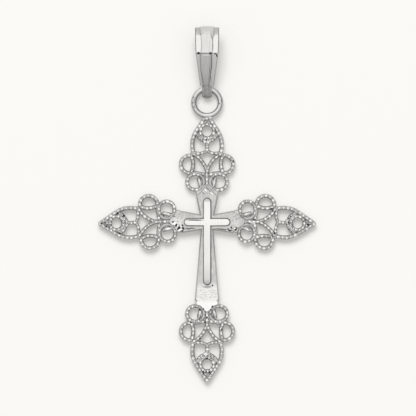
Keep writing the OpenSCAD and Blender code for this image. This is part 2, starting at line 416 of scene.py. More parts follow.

# %% [markdown]
# The plate was left as cast and then brushed. The foot of the shaft and the ends of the arms are painted
# brighter, as painted light. Casting flaws show as specks in the lower corner of each arm and scratches on
# the upper arm, with painted highlights on them, and there is a pit beside the inner cross's foot. Painted
# shadows lie under the inner cross's side arms and its foot. Each is a soft ellipse at its own place, and
# noise fills the rougher patches.

# %% Plate finish
# Marks: x, y, half length, half width in mm, and turn in degrees
DARK_FLAWS = [
    (-2.93, -0.29, 0.17, 0.11, 60), (-2.67, -0.54, 0.20, 0.11, 45), (-2.34, -0.30, 0.10, 0.10, 0),
    (-2.27, -0.58, 0.09, 0.15, 20), (-2.38, -0.87, 0.17, 0.09, 50), (-3.25, 0.02, 0.11, 0.08, 0),
    (-3.20, 0.60, 0.16, 0.07, -35), (2.85, -0.95, 0.18, 0.10, 35), (2.70, -0.73, 0.13, 0.10, 0),
    (2.14, -0.79, 0.18, 0.07, -5), (3.32, 0.47, 0.20, 0.08, -35), (2.30, -0.50, 0.07, 0.12, 0),
    (2.0, -0.65, 0.08, 0.08, 0)]
# Painted highlights: white spots on the flaws and on the scratches of the upper arm
PAINTED_FLAW_HIGHLIGHTS = [
    (-3.09, -0.14, 0.14, 0.12, 0), (-2.82, -0.33, 0.13, 0.09, 40), (-2.51, -0.42, 0.13, 0.10, 50),
    (-2.64, -0.77, 0.13, 0.09, 45), (-2.45, -0.97, 0.12, 0.09, 40), (-2.45, -0.68, 0.08, 0.08, 0),
    (2.76, -0.87, 0.10, 0.07, 30), (2.62, -0.62, 0.09, 0.07, 0), (1.95, -0.80, 0.09, 0.06, 0),
    (0.15, 3.31, 0.28, 0.06, -48), (-0.15, 3.05, 0.22, 0.045, -40), (0.42, 2.75, 0.2, 0.04, -45)]
# The first two are painted shadows under the inner cross's side arms, the rest are scratches on the upper
# arm
SCRATCHES_AND_SHADOW_LINES = [
    (-1.62, -0.59, 0.55, 0.06, 3), (1.45, -0.68, 0.75, 0.06, -8), (0.05, 3.22, 0.24, 0.05, -48),
    (0.30, 2.90, 0.25, 0.04, -48), (-0.35, 2.75, 0.15, 0.04, -40)]
# Rough patches in the lower corners of the side arms, and last a painted shadow under the inner cross's
# left arm
ROUGH_PATCHES_AND_SHADOW = [
    (-2.75, -0.55, 0.60, 0.32, -38), (2.62, -0.75, 0.42, 0.30, 30), (-1.6, -0.62, 0.6, 0.10, 3)]
# Painted light on the ends of the arms
LEFT_ARM_PAINTED_LIGHT = [(-2.85, -0.12, 0.62, 0.50, 0)]
RIGHT_ARM_PAINTED_LIGHT = [(2.75, -0.10, 0.55, 0.45, 0)]
PIT = [(0.52, -6.02, 0.085, 0.085, 0)]
# Painted shadow just under the inner cross's foot
INNER_FOOT_SHADOW = [(0.03, -6.14, 0.40, 0.15, 0)]
# Places along y or x between which these come in: painted light on the foot with the tool's lines, the
# foot's mottle, painted light at the foot's tip, and the mottle at the ends of the arms
FOOT_LIGHT_AND_LINES = (-5.7, -6.3)
FOOT_MOTTLE = (-5.8, -6.6)
FOOT_TIP_PAINTED_LIGHT = (-7.2, -7.7)
LEFT_END = (-2.2, -2.5)
RIGHT_END = (2.2, 2.5)

# Brushed metal scatters the light, so the plate is a pale even grey with short lines up and down
brushed = white_gold("brushed_cast_white_gold", "#C4C3C0", 0.34, 0.12, 0.008, 0.08)
recolour(brushed, "#B7B6B4", noise_mask(brushed, (0.9, 0.9, 0.9), 0.45, 0.65))
recolour(brushed, "#DBDAD7", noise_mask(brushed, (0.10, 0.7, 1), 0.55, 0.70))
# Painted light on the foot of the shaft, with the tool's lines across it, a mottle, and more painted light
# at its tip
recolour(brushed, "#E8E7E4", band(brushed, "Y", *FOOT_LIGHT_AND_LINES))
recolour(brushed, "#CAC9C6", band(brushed, "Y", *FOOT_LIGHT_AND_LINES),
         noise_mask(brushed, (1.6, 0.11, 1), 0.5, 0.8))
recolour(brushed, "#C6C5C2", band(brushed, "Y", *FOOT_MOTTLE),
         noise_mask(brushed, (0.22, 0.16, 1), 0.50, 0.66))
recolour(brushed, "#EFEEEB", band(brushed, "Y", *FOOT_TIP_PAINTED_LIGHT))
# Painted light on the ends of the arms, with a fine dark and bright mottle
recolour(brushed, "#DDDCD9", spots(brushed, LEFT_ARM_PAINTED_LIGHT))
recolour(brushed, "#D0CFCC", spots(brushed, RIGHT_ARM_PAINTED_LIGHT))
ends = add_node(brushed.node_tree, "ShaderNodeMath", {
    0: band(brushed, "X", *LEFT_END), 1: band(brushed, "X", *RIGHT_END)},
    operation="MAXIMUM").outputs["Value"]
recolour(brushed, "#A8A7A5", ends, noise_mask(brushed, (0.22, 0.22, 0.22), 0.50, 0.62))
recolour(brushed, "#E2E1DE", ends, noise_mask(brushed, (0.17, 0.17, 0.17), 0.43, 0.35))
# The flaws, the scratches and the pit, painted shadows under the inner cross, and painted highlights on
# the flaws and scratches
recolour(brushed, "#6B6A68", spots(brushed, SCRATCHES_AND_SHADOW_LINES))
recolour(brushed, "#5A5958", spots(brushed, ROUGH_PATCHES_AND_SHADOW),
         noise_mask(brushed, (0.16, 0.16, 0.16), 0.50, 0.57))
recolour(brushed, "#FFFFFD", spots(brushed, PAINTED_FLAW_HIGHLIGHTS))
recolour(brushed, "#1C1B1B", spots(brushed, DARK_FLAWS))
recolour(brushed, "#1F1F1E", spots(brushed, PIT))
recolour(brushed, "#969593", spots(brushed, INNER_FOOT_SHADOW), 0.8)
# Painted light: the plate's bevels and sides are coloured lighter by the way they face
paint_by_facing(brushed, "#D2D1CE", 0.98, 0.70)

# %% [markdown]
# The plate is one flat outline with flared arms that end in pointed gables. It is pushed up to its
# thickness, and its top edges are bevelled as the file left them. The side arms are a little wider
# than the upper arm at the waist, and flare a little higher.

# %% Plate cross
PLATE_T = 1.10
PLATE_BEVEL = 0.13
WAIST_HALF = 0.70
ARM_WAIST_HALF = 0.75
ARM_LIFT = 0.04
SHAFT_WAIST_HALF = 0.60
ARM_REACH = 2.46
ARM_FLARE_HALF = 1.05
GABLE_H = 1.16
FOOT_REACH = 7.37
FOOT_FLARE_HALF = 1.17
FOOT_GABLE_H = 0.98

plate_outline = mirrored([
    (0, -FOOT_REACH - FOOT_GABLE_H), (FOOT_FLARE_HALF, -FOOT_REACH), (SHAFT_WAIST_HALF, -ARM_WAIST_HALF),
    (ARM_REACH, -ARM_FLARE_HALF), (ARM_REACH + GABLE_H, 0), (ARM_REACH, ARM_FLARE_HALF + ARM_LIFT),
    (WAIST_HALF, ARM_WAIST_HALF), (ARM_FLARE_HALF, ARM_REACH), (0, ARM_REACH + GABLE_H)])
plate_shape = bmesh.new()
plate_top = push_up(plate_shape, plate_outline, 0, PLATE_T)
bmesh.ops.bevel(plate_shape, geom=plate_top, offset=PLATE_BEVEL, offset_type="OFFSET", affect="EDGES",
                segments=1, profile=0.5, material=-1)
finish_piece("plate_cross", plate_shape, [brushed], "filigree_cross",
             crisp=radians(20))

# %% [markdown]
# The inner cross stands on the plate. Its bars have round ends and a buffed top, painted darker down the
# shaft and at the tips as painted shade. Its sides and the bevel round its top get a painted grey shade,
# so they draw a grey line round it, and a painted shadow in the corner at its root makes that line dark on
# the outside.

# %% Inner cross finish
# Places along y between which painted shade comes in on the top: down the shaft, on its lower part, at the
# foot's tip and at the upper tip
INNER_SHAFT_SHADE = (0.2, -1.0)
INNER_LOW_SHADE = (-3.6, -5.7)
INNER_FOOT_TIP_SHADE = (-5.4, -5.7)
INNER_TOP_TIP_SHADE = (1.85, 2.05)
# Painted shade: a dark line along the left arm's upper edge
ARM_SHADE_LINE = [(-1.20, 0.20, 0.85, 0.06, -1)]
# Heights over the plate between which painted shadow at the root comes in
ROOT_SHADE = (0.10, 0.03)

# A buffed top mirrors the tent's roof, so it is nearly white, with faint lines along the shaft
buffed = white_gold("buffed_casting_painted_side_shade", "#E9E8E5", 0.14, 0.22, 0.002, 0.03)
# Painted shade: the top darkens down the shaft, on its lower part and at both tips
recolour(buffed, "#E1E0DD", band(buffed, "Y", *INNER_SHAFT_SHADE))
recolour(buffed, "#BFBEBC", band(buffed, "Y", *INNER_LOW_SHADE), 0.75)
recolour(buffed, "#9F9E9C", band(buffed, "Y", *INNER_FOOT_TIP_SHADE), 0.6)
recolour(buffed, "#A9A8A6", band(buffed, "Y", *INNER_TOP_TIP_SHADE), 0.7)
recolour(buffed, "#CFCECB", noise_mask(buffed, (0.12, 1.5, 1), 0.5, 0.7), 0.5)
recolour(buffed, "#3A3938", spots(buffed, ARM_SHADE_LINE))
# Painted shade: the sides and the bevel round the top are coloured darker by the way they face
paint_by_facing(buffed, "#949391", 0.92, 0.60)
# Painted shadow in the corner at the root
recolour(buffed, "#4A4948", band(buffed, "Z", *(PLATE_T + height for height in ROOT_SHADE)))

# %% [markdown]
# The inner cross's outline is two bars, drawn as one line with half circles at the four ends. Its
# sides lean, as a casting's do so that it leaves the mould. Scaling the top would lean them
# unevenly, so the pushed-up face is given the points of a smaller outline instead.

# %% Inner cross
INNER_RISE = 0.30
INNER_HALF = 0.33
INNER_UP = 2.26
INNER_DOWN = 5.93
INNER_SIDE = 2.16
INNER_LEAN = 0.145
# The foot lies this much to the right of the top
INNER_ASKEW = 0.03
INNER_EDGE = 0.11
# How deep the foot reaches into the plate
INNER_FOOT = 0.2


def half_circle(centre, radius, middle_angle, steps=8):
    """Points of a half circle, round the angle of its middle, in degrees."""
    angles = [radians(middle_angle - 90 + 180 * k / steps) for k in range(steps + 1)]
    return [(centre[0] + radius * cos(a), centre[1] + radius * sin(a)) for a in angles]


def inner_outline(grow):
    """The inner cross's outline, grown by a margin on all sides."""
    half = INNER_HALF + grow
    return (half_circle((0, -INNER_DOWN + INNER_HALF), half, -90) + [(half, -half)]
            + half_circle((INNER_SIDE - INNER_HALF, 0), half, 0) + [(half, half)]
            + half_circle((0, INNER_UP - INNER_HALF), half, 90) + [(-half, half)]
            + half_circle((-INNER_SIDE + INNER_HALF, 0), half, 180) + [(-half, -half)])


inner_shape = bmesh.new()
foot_outline = [(x + INNER_ASKEW, y) for x, y in inner_outline(INNER_LEAN)]
push_up(inner_shape, foot_outline, PLATE_T - INNER_FOOT, PLATE_T + INNER_RISE)
inner_top = max(inner_shape.faces, key=lambda face: face.calc_center_median().z)
for vert, (x, y) in zip(inner_top.verts, inner_outline(0)):
    vert.co.x, vert.co.y = x, y
bmesh.ops.bevel(inner_shape, geom=list(inner_top.edges), offset=INNER_EDGE, offset_type="OFFSET",
                affect="EDGES", segments=2, profile=0.5, material=-1)
finish_piece("inner_cross", inner_shape, [buffed], "filigree_cross")

# %% [markdown]
# A finial is drawn with its axis up the page, in u across and v outward, from arcs and straight wires.
# Each wire is a route of points. A curve with a bevel would give a round wire. A cast wire has a
# rounded crest and a narrower foot, which lets it leave its mould, so that profile is carried
# along the route, one extruded section at a time.

# %% Routes and swept wires
WIRE_TOP = 0.86
WIRE_WALL = 0.66
WIRE_DRAFT = 0.12
WIRE_FOOT = 0.45
# Degrees between the sections along an arc, and between the points over a wire's crest
SECTION_TURN = 11
CREST_TURN = 20
# The last section of a closed loft lies on the first one and merges with it
LOFT_SEAM = 0.0001
# Angles of the sections that round off a wire's end, and the most that a corner stretches a section
ROUND_END = (25, 50, 80)
MITRE_LIMIT = 0.7


def point_on(centre, radius, angle):
    """The point of a circle at an angle in degrees."""
    return Vector((centre[0] + radius * cos(radians(angle)), centre[1] + radius * sin(radians(angle))))


def arc(centre, radius, start, end):
    """Points along an arc from one angle to another, in degrees, about one for each 11 degrees."""
    steps = max(2, ceil(abs(end - start) / SECTION_TURN))
    return [point_on(centre, radius, start + (end - start) * k / steps) for k in range(steps + 1)]


def wire_profile(width):
    """Points of a wire's profile, across and up, from its left foot over the crest to the right foot."""
    half = width / 2
    foot = half * WIRE_FOOT
    shoulder = WIRE_WALL - WIRE_DRAFT
    crest = [(-half * cos(radians(a)), WIRE_WALL + (WIRE_TOP - WIRE_WALL) * sin(radians(a)))
             for a in range(0, 181, CREST_TURN)]
    return [(-foot, 0), (-half, shoulder)] + crest + [(half, shoulder), (foot, 0)]


def loft(shape, sections, closed):
    """Extrudes a loop of edges through a list of sections, each a list of points in the same order."""
    loop = [shape.verts.new(p) for p in sections[0]]
    edges = [shape.edges.new(pair) for pair in zip(loop, loop[1:] + loop[:1])]
    first = edges
    for section in sections[1:] + ([sections[0]] if closed else []):
        grown = bmesh.ops.extrude_edge_only(shape, edges=edges)["geom"]
        fresh = {item for item in grown if isinstance(item, bmesh.types.BMVert)}
        loop = [next(e.other_vert(v) for e in v.link_edges if e.other_vert(v) in fresh) for v in loop]
        for vert, place in zip(loop, section):
            vert.co = place
        edges = [shape.edges.get(pair) for pair in zip(loop, loop[1:] + loop[:1])]
    if closed:
        bmesh.ops.remove_doubles(shape, verts=shape.verts, dist=LOFT_SEAM)
    else:
        for end in (first, edges):
            bmesh.ops.edgeloop_fill(shape, edges=end)


def sweep(shape, route, width, closed):
    """Carries a wire's profile along a flat route. An open route gets round ends."""
    profile = wire_profile(width)
    count = len(route)
    steps = [(route[(i + 1) % count] - route[i]).normalized() for i in range(count)]
    if not closed:
        steps[-1] = steps[-2]
    frames = []
    for i, here in enumerate(route):
        back = steps[i - 1] if closed or i else steps[0]
        along = (back + steps[i]).normalized()
        frames.append((here, along, 1 / max(MITRE_LIMIT, along.dot(steps[i]))))
    if not closed:
        caps = [(width / 2 * sin(radians(a)), cos(radians(a))) for a in ROUND_END]
        head = [(route[0] - steps[0] * beyond, steps[0], narrow) for beyond, narrow in reversed(caps)]
        tail = [(route[-1] + steps[-1] * beyond, steps[-1], narrow) for beyond, narrow in caps]
        frames = head + frames + tail
    sections = []
    for here, along, stretch in frames:
        side = Vector((along.y, -along.x))
        sections.append([Vector((*(here + side * across * stretch), up)) for across, up in profile])
    loft(shape, sections, closed)

# %% [markdown]
# Beads follow the crest of each wire, as a milgrain wheel rolls them. They are spaced evenly to a
# pitch near 0.4 mm. Each is a low oval drawn out along the wire, and no two are quite alike,
# since the mould was worn. Where two wires cross, a bead is left out if another already stands there.
# The random numbers have a seed, so every run sets the same beads.

# %% Beads
BEAD_HALF_WIDTH = 0.165
BEAD_HALF_LENGTH = 0.205
BEAD_HALF_HEIGHT = 0.10
BEAD_PITCH = 0.42
BEAD_CENTRE = WIRE_TOP
BEAD_APART = 0.29
# Most that a bead is turned in radians and moved in mm, and the ranges its measures are drawn from
BEAD_LEAN = 0.2
BEAD_WANDER = 0.02
BEAD_LENGTHS = (0.72, 1.10)
BEAD_WIDTHS = (0.78, 1.08)
BEAD_HEIGHTS = (0.75, 1.0)
bead_chance = random.Random(7)


def along_route(route, closed, pitch):
    """Evenly spaced places on a route, each with its direction."""
    points = route + route[:1] if closed else route
    lengths = [(b - a).length for a, b in zip(points, points[1:])]
    total = sum(lengths)
    count = max(1, round(total / pitch))
    places = []
    for k in range(count):
        left = (k + 0.5) * total / count
        for a, b, length in zip(points, points[1:], lengths):
            if left <= length:
                places.append((a.lerp(b, left / length), (b - a).normalized()))
                break
            left -= length
    return places


def set_bead(shape, place, along, half_length, half_width):
    """Adds one bead, a low oval that is turned along its wire and tipped a little by chance."""
    turn = Matrix.Rotation(atan2(along.y, along.x) + bead_chance.uniform(-BEAD_LEAN, BEAD_LEAN), 4, "Z")
    tip = Matrix.Rotation(bead_chance.uniform(-BEAD_LEAN, BEAD_LEAN), 4, "X")
    tip = tip @ Matrix.Rotation(bead_chance.uniform(-BEAD_LEAN, BEAD_LEAN), 4, "Y")
    half_height = BEAD_HALF_HEIGHT * bead_chance.uniform(*BEAD_HEIGHTS)
    stretch = Matrix.Diagonal((half_length, half_width, half_height, 1))
    where = Matrix.Translation((*place, BEAD_CENTRE)) @ turn @ tip @ stretch
    made = bmesh.ops.create_icosphere(shape, subdivisions=2, radius=1.0, matrix=where)
    for face in {f for v in made["verts"] for f in v.link_faces}:
        face.material_index = 1


def bead_wire(shape, taken, places, plain=0.0):
    """Sets beads at places with directions, except nearer the finial's axis than plain."""
    for place, along in places:
        chance = Vector((bead_chance.uniform(-1, 1), bead_chance.uniform(-1, 1)))
        place = place + chance * BEAD_WANDER
        if abs(place.x) < plain or any((place - other).length < BEAD_APART for other in taken):
            continue
        taken.append(place)
        set_bead(shape, place, along, BEAD_HALF_LENGTH * bead_chance.uniform(*BEAD_LENGTHS),
                 BEAD_HALF_WIDTH * bead_chance.uniform(*BEAD_WIDTHS))

# %% [markdown]
# These are the measures of one finial. The scroll loops stand next to the plate with a bud curled in
# each, the side loops above them have a bowed inner wall, and a V of wires leads to the teardrop,
# which holds a round eye with a wing wrapped under it. Circles are given by their centre and the
# radius of the wire's middle line.

# %% Finial measures
RIM_W = 0.44
FINE_W = 0.37
SCROLL_AT = 3.81
SCROLL_MID_R = 0.74
# Where the inner and the outer half of a scroll loop have their centres, across
SCROLL_ENDS = (1.02, 1.18)
SIDE_LOOP = (1.665, 5.49)
SIDE_LOOP_MID_R = 0.835
SIDE_WALL = (3.00, 5.49)
SIDE_WALL_MID_R = 1.69
VEE = (2.46, 4.24)
VEE_R = 2.515
VEE_ANGLES = (162.8, 115.2)
HUMP = (0.76, 7.83)
HUMP_R = 1.30
HUMP_ANGLES = (233, 299)
DROP_AT = 7.315
DROP_HALF = 1.634
DROP_SIDE_R = 3.56
DROP_BASE_V = 6.58
TIP_HALF_ANGLE = 33.3
SHOULDER_SOFT = 8
TIP_APEX = 10.62
TIP_AT = 10.04
TIP_MID_R = 0.10
# The teardrop's straight sides meet the round of its tip at this angle
TIP_ARC_START = 33.7
EYE = (0, 8.62)
EYE_MID_R = 0.645
WING_R = 0.965
WING_HALF_ANGLE = 58
WING_END = Vector((1.10, 8.55))
BUD = (Vector((0.57, 3.25)), Vector((0.78, 4.08)))
BUD_W = 0.40
YOKE = [Vector((0.16, 4.47)), Vector((0.50, 4.62)), Vector((1.00, 4.70)), Vector((1.50, 4.68))]
# A wire with no beads is plain further from the axis than any of it reaches
PLAIN = 9

# %% [markdown]
# The side loop and the teardrop need some geometry, since their arcs end where they meet other arcs
# and lines. The corners are worked out from the radii, so a changed radius keeps them closed.

# %% Side loop and teardrop
def side_loop_route():
    """Outer arc of the side loop, closed by the bowed wall that the second circle gives."""
    apart = SIDE_WALL[0] - SIDE_LOOP[0]
    across = (apart ** 2 + SIDE_LOOP_MID_R ** 2 - SIDE_WALL_MID_R ** 2) / (2 * apart)
    rise = sqrt(SIDE_LOOP_MID_R ** 2 - across ** 2)
    loop_angle = degrees(atan2(rise, across))
    wall_angle = degrees(atan2(rise, across - apart))
    outer = arc(SIDE_LOOP, SIDE_LOOP_MID_R, -loop_angle, loop_angle)
    wall = arc(SIDE_WALL, SIDE_WALL_MID_R, wall_angle, 360 - wall_angle)
    return outer + wall[1:-1]


def drop_route():
    """Right side of the teardrop, up to its point, and down the left side."""
    centre = (DROP_HALF - DROP_SIDE_R, DROP_AT)
    radius = DROP_SIDE_R - RIM_W / 2
    apex = TIP_APEX - RIM_W / 2 / sin(radians(TIP_HALF_ANGLE))
    lean = Vector((sin(radians(TIP_HALF_ANGLE)), -cos(radians(TIP_HALF_ANGLE))))
    start = Vector((0, apex)) - Vector(centre)
    middle = start.dot(lean)
    far = -middle + sqrt(middle ** 2 - start.length_squared + radius ** 2)
    corner = start + lean * far
    low = degrees(atan2(DROP_BASE_V - DROP_AT, sqrt(radius ** 2 - (DROP_BASE_V - DROP_AT) ** 2)))
    right = arc(centre, radius, low, degrees(atan2(corner.y, corner.x)) - SHOULDER_SOFT)
    corner += Vector(centre)
    up = corner - lean * radius * radians(SHOULDER_SOFT)
    right += [(right[-1] + up + 2 * corner) / 4, up]
    right += arc((0, TIP_AT), TIP_MID_R, TIP_ARC_START, 90)
    return right + [Vector((-p.x, p.y)) for p in reversed(right[:-1])]


def flip(route):
    """The same route on the other side of the axis."""
    return [Vector((-p.x, p.y)) for p in route]


print("points round the teardrop and a side loop", len(drop_route()), len(side_loop_route()))

# %% [markdown]
# All the wires of one finial stand in a list. What lies on one side is mirrored. Skins of solder
# that ran into the narrow corners are low outlines, pushed up to just under the wires' crests.

# %% Wires of a finial
def on_axis(*heights):
    """Points on the finial's middle line."""
    return [Vector((0, v)) for v in heights]


scroll = (arc((SCROLL_ENDS[1], SCROLL_AT), SCROLL_MID_R, -90, 90)
          + arc((SCROLL_ENDS[0], SCROLL_AT), SCROLL_MID_R, 90, 270))
wing_arc = arc(EYE, WING_R, -90 - WING_HALF_ANGLE, -90 + WING_HALF_ANGLE)
# Each wire: its route, whether it closes, its width, whether a mirrored one stands opposite, and how
# far from the axis it is plain
finial_wires = [
    # The teardrop, its eye, the side loops, the scroll loops and the V
    (drop_route(), False, RIM_W, False, 0),
    (arc(EYE, EYE_MID_R, 0, 350), True, FINE_W, False, 0),
    (side_loop_route(), True, RIM_W - 0.02, True, 0),
    (scroll, True, FINE_W + 0.03, True, 0.62),
    (arc(VEE, VEE_R, *VEE_ANGLES), False, FINE_W, True, 0),
    # The humps at the foot of the teardrop and the wing under the eye
    (arc(HUMP, HUMP_R, *HUMP_ANGLES), False, FINE_W - 0.05, True, 0),
    (flip([WING_END]) + wing_arc + [WING_END], False, FINE_W - 0.03, False, PLAIN),
    # The stem by the plate, the stem in the teardrop, the buds, the yoke and the wire over the eye
    (on_axis(3.45, 4.2, 5.05), False, RIM_W, False, 0),
    (on_axis(6.84, 7.3, 7.80), False, FINE_W, False, PLAIN),
    (list(BUD), False, BUD_W, True, PLAIN),
    (YOKE, False, FINE_W - 0.07, True, 0),
    (on_axis(9.15, 9.55, 9.9), False, FINE_W - 0.12, False, 0),
]
# Right halves of the outlines that the solder fills, and its height: the stem's foot, the corner over
# the eye and the crescent under the eye
SOLDER_WEBS = [
    ([(0, 2.9), (0.5, 2.9), (0.58, 3.4), (0.56, 3.9), (0.5, 4.35), (0.25, 4.72), (0, 4.72)], 0.74),
    ([(0, 9.25), (0.45, 9.1), (0.62, 9.2), (0.3, 9.8), (0, 10.0)], 0.75),
    ([(0, 7.72), (0.35, 7.78), (0.66, 8.02), (0.86, 8.38), (0.76, 8.55), (0.55, 8.15), (0.25, 7.95),
      (0, 7.90)], 0.84)]
# The web between the plate's gable and the scroll loops
GABLE_WEB = [(0, 2.3), (0.85, 2.3), (1.06, 2.60), (1.10, 2.95), (0.62, 3.12), (0.36, 3.46), (0, 3.70)]
WEB_BEVEL = 0.09
print("wires in a finial", sum(2 if paired else 1 for *_, paired, plain in finial_wires))

# %% [markdown]
# One finial is made from its beads, wires and webs. The beads that stand alone are set first, and
# the ones along the wires keep clear of them. The drawing is then moved to its arm, and the top
# finial's point is cut off where the ring is soldered.

# %% Making a finial
# Two pairs of beads at the foot of the eye and two single ones on the stem below it
EYE_BEADS = [(-0.19, 7.98), (0.14, 7.98), (-0.17, 7.59), (0.14, 7.59), (-0.01, 7.20), (-0.02, 6.88)]
# Half length and half width of the one long bead on a bud, and how far up the bud it stands
BUD_BEAD = (0.40, 0.16)
BUD_BEAD_AT = 0.60
WING_BEAD = (0.15, 0.13)
WING_PITCH = 0.30
CUT_TOLERANCE = 0.0001


def make_finial(name, place, web_top, cut=None, more_beads=()):
    """Builds one finial and moves it to its place. cut is where its point is filed off."""
    shape = bmesh.new()
    taken = []
    lone_beads = [(Vector(spot), Vector((1, 0))) for spot in (*EYE_BEADS, *more_beads)]
    bead_wire(shape, taken, lone_beads)
    for low, high in (BUD, flip(BUD)):
        set_bead(shape, low.lerp(high, BUD_BEAD_AT), high - low, *BUD_BEAD)
    for spot, along in along_route(wing_arc, False, WING_PITCH):
        set_bead(shape, spot, along, *WING_BEAD)
    for route, closed, width, paired, plain in finial_wires:
        for path in [route] + ([flip(route)] if paired else []):
            sweep(shape, path, width, closed)
            bead_wire(shape, taken, along_route(path, closed, BEAD_PITCH), plain)
    for half_outline, height in SOLDER_WEBS:
        push_up(shape, mirrored(half_outline), 0, height)
    wire_faces = set(shape.faces)
    web_edges = push_up(shape, mirrored(GABLE_WEB), 0, web_top)
    bmesh.ops.bevel(shape, geom=web_edges, offset=WEB_BEVEL, offset_type="OFFSET", affect="EDGES",
                    segments=1, profile=0.5, material=-1)
    for face in set(shape.faces) - wire_faces:
        face.material_index = 2
    if cut is not None:
        same_order(shape)
        everything = shape.verts[:] + shape.edges[:] + shape.faces[:]
        bmesh.ops.bisect_plane(shape, geom=everything, dist=CUT_TOLERANCE, plane_co=(0, cut, 0),
                               plane_no=(0, 1, 0), clear_outer=True)
        bmesh.ops.holes_fill(shape, edges=[e for e in shape.edges if e.is_boundary])
    bmesh.ops.transform(shape, matrix=place, verts=shape.verts)
    print(name, "beads", len(taken))
    finish_piece(name, shape, [cast_wire, bead_top, brushed], "filigree_cross")

# %% [markdown]
# The filigree has single marks too: dark specks, gritty stretches at the teardrops, and painted
# highlights, white spots that stand in for glints on the beads. They are ellipses in the part's own frame.
# Very many of them in one material overflow the renderer, so the list keeps to those that a viewer can
# see.

# %% Dirt and glints of the filigree
FINIAL_SPECKS = [
    (-8.49, 0.85, 0.12, 0.09, 40), (-10.03, -0.13, 0.12, 0.08, 30), (-9.55, -0.37, 0.14, 0.07, 45),
    (-8.31, -1.08, 0.12, 0.09, 20), (-7.89, 0.64, 0.09, 0.12, 0), (6.12, 1.26, 0.13, 0.09, 30),
    (6.42, -1.05, 0.10, 0.10, 0), (9.59, -0.25, 0.13, 0.10, -30), (7.75, -0.03, 0.07, 0.12, 0),
    (3.39, 0.47, 0.17, 0.07, -35), (4.46, 0.25, 0.12, 0.06, 0), (6.00, -1.43, 0.09, 0.09, 0),
    (-0.19, -9.49, 0.07, 0.16, 0), (-0.67, -11.10, 0.14, 0.07, 45), (-0.08, -12.95, 0.10, 0.08, 0),
    (-0.35, -14.37, 0.13, 0.08, -50), (0.23, -14.26, 0.13, 0.08, 50), (-1.51, -9.53, 0.10, 0.06, 0),
    (1.38, -10.2, 0.07, 0.12, 0), (-0.02, -9.05, 0.08, 0.10, 0), (-0.18, -8.80, 0.07, 0.07, 0),
    (0.28, -8.75, 0.06, 0.08, 0), (2.49, 5.79, 0.09, 0.09, 0), (-1.24, 6.31, 0.09, 0.06, 0),
    (-0.05, 7.82, 0.06, 0.06, 0)]
GRIT = [
    (0, 7.95, 0.95, 0.42, 0), (-7.95, -0.08, 0.45, 1.0, 0), (7.95, -0.08, 0.45, 1.0, 0),
    (0, -12.85, 0.95, 0.42, 0), (-9.3, -0.1, 0.8, 0.45, 0), (0, -14.2, 0.45, 0.6, 0),
    (9.4, -0.1, 0.6, 0.4, 0)]
# Painted highlights: white spots that stand in for glints on the beads
FINIAL_PAINTED_HIGHLIGHTS = [
    (-0.02, -8.78, 0.09, 0.10, 0), (0.12, -9.05, 0.07, 0.07, 0), (2.33, 5.72, 0.06, 0.10, 0),
    (-7.75, 0.62, 0.07, 0.10, 0), (-4.80, 2.42, 0.34, 0.06, -48), (-3.52, 1.83, 0.45, 0.06, -28),
    (-4.57, -1.68, 0.10, 0.13, 20), (4.38, -0.05, 0.26, 0.15, 0)]
GABLE_SPECKS = [
    (-0.67, -8.33, 0.10, 0.10, 0), (-0.35, -8.25, 0.10, 0.07, 30), (0.49, -8.02, 0.12, 0.07, 50),
    (0.36, -8.32, 0.09, 0.08, 0)]
for metal in (cast_wire, bead_top):
    gritty = spots(metal, GRIT)
    recolour(metal, "#6A6967", gritty, noise_mask(metal, (0.15, 0.15, 0.15), 0.52, 0.60))
    recolour(metal, "#FAF9F6", gritty, noise_mask(metal, (0.17, 0.17, 0.17), 0.43, 0.37))
    recolour(metal, "#FFFFFD", spots(metal, FINIAL_PAINTED_HIGHLIGHTS))
    recolour(metal, "#2A2928", spots(metal, FINIAL_SPECKS))
for metal in (cast_wire, bead_top, brushed):
    recolour(metal, "#2A2928", spots(metal, GABLE_SPECKS))
print("specks and glints", len(FINIAL_SPECKS) + len(FINIAL_PAINTED_HIGHLIGHTS) + len(GABLE_SPECKS))

# %% [markdown]
# The drawing is placed four times. The side finials droop by two degrees, as on the real cross, the
# bottom one stands off by the length of the shaft, and the top one has its point filed off and three
# more beads there. The web at the gable covers the plate by a hair, except at the top.

# %% Four finials
SIDE_DROOP = 2.0
SHAFT_EXTRA = 4.91
RING_SEAT = 10.08
TIP_BEADS = [(-0.37, 9.80), (-0.02, 9.84), (0.29, 9.92)]
WEB_TOP = PLATE_T + 0.005
TOP_FINIAL_WEB_TOP = 1.0


def placed(turn, droop=0.0, shift=0.0):
    """Matrix that turns the drawing to its arm, with a droop about the middle of its side loops."""
    pivot = Matrix.Translation((0, SIDE_LOOP[1], 0))
    lean = pivot @ Matrix.Rotation(radians(droop), 4, "Z") @ pivot.inverted()
    return Matrix.Translation((0, -shift, 0)) @ Matrix.Rotation(radians(turn), 4, "Z") @ lean


make_finial("top_finial", placed(0), TOP_FINIAL_WEB_TOP, RING_SEAT, TIP_BEADS)
make_finial("left_finial", placed(90, SIDE_DROOP), WEB_TOP)
make_finial("right_finial", placed(-90, -SIDE_DROOP), WEB_TOP)
make_finial("bottom_finial", placed(180, shift=SHAFT_EXTRA), WEB_TOP)

# %% [markdown]
# The ring lies at the height that the bail gives it. The bail lies back on the paper, on its rear
# leg and on the round end that goes about the ring's wire, so its tilt follows from two measures of
# its side view, and the ring's height from the tilt.

# %% Tilt of the bail and height of the ring
RING_AT = 11.38
RING_R = 1.27
RING_WIRE_R = 0.265
# Outer radius of the bail's round end, and how far down the bail its centre lies from the ring's wire
END_R = 0.555
END_DROP = 0.43
# The knee in the bail's side view: along the bail and out from its middle
KNEE = (3.84, 1.55)


def touch_angle(centre, radius, point):
    """Angle on a circle where a line from a point touches its upper side, in degrees."""
    gap = Vector(point) - Vector(centre)
    return degrees(atan2(gap.y, gap.x) + acos(radius / gap.length))


